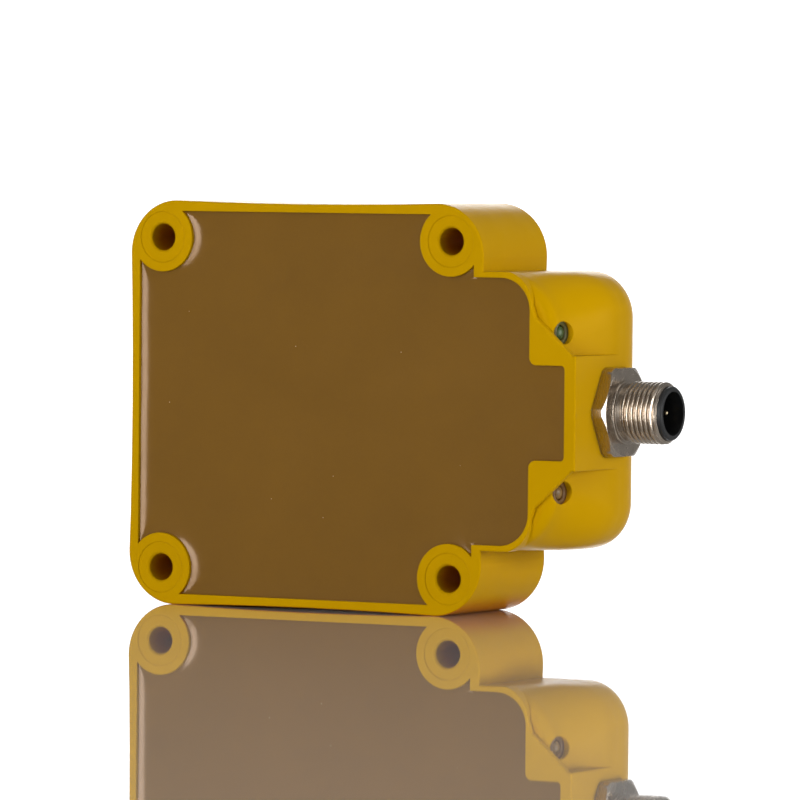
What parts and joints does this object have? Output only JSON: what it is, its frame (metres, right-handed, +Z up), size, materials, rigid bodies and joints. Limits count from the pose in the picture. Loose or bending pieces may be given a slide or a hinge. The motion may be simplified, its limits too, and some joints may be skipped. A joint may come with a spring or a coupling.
{
  "type": "inductive proximity sensor",
  "caption": "Flat square inductive sensor with potted back, corner screw holes and a male M12 plug connection on a stepped nose.",
  "frame": {"origin": "centre of the square of fixing holes, on the plane of the potted side's rim", "axes": "+X from the body towards the plug end, +Y from the potted side to the sensing face, +Z up as the sensor stands on its long side"},
  "size_m": [0.1125, 0.026, 0.0794],
  "materials": {
    "housing": "semi-gloss moulded polyester, signal yellow",
    "resin": "glossy cast resin, brown",
    "nickel": "brass, bright nickel plate",
    "contact_plastic": "black glass-filled plastic",
    "gold": "brass, gold plate",
    "seal_rubber": "black rubber",
    "ferrite": "sintered ferrite, dark grey",
    "former": "natural plastic",
    "copper": "enamelled copper wire",
    "board": "green solder mask",
    "chip": "black moulded package",
    "film_box": "red dipped box",
    "chip_ceramic": "tan ceramic with tinned ends",
    "lens_green": "clear green-tinted epoxy",
    "lens_yellow": "clear yellow-tinted epoxy",
    "tinned_wire": "tinned wire",
    "wire_cover": "insulated wire"
  },
  "bodies": {
    "root": {"housing_shell": "housing", "potting_resin": "resin", "connector_body": "nickel", "connector_insert": "contact_plastic", "connector_seal": "seal_rubber", "connector_nut": "nickel", "ferrite_core": "ferrite", "coil_former": "former", "coil_winding": "copper", "coil_lead_start": "copper", "coil_lead_end": "copper", "circuit_board": "board", "oscillator_chip": "chip", "output_transistor": "chip", "voltage_regulator": "chip", "suppressor_diode": "chip", "resonance_capacitor": "film_box", "chip_capacitors": "chip_ceramic", "chip_resistors": "chip_ceramic", "green_led": "lens_green", "green_led_leads": "tinned_wire", "yellow_led": "lens_yellow", "yellow_led_leads": "tinned_wire", "contact_pin_1": "gold", "connector_wire_1": "wire_cover", "contact_pin_2": "gold", "connector_wire_2": "wire_cover", "contact_pin_3": "gold", "connector_wire_3": "wire_cover", "contact_pin_4": "gold", "connector_wire_4": "wire_cover"}
  },
  "joints": []
}
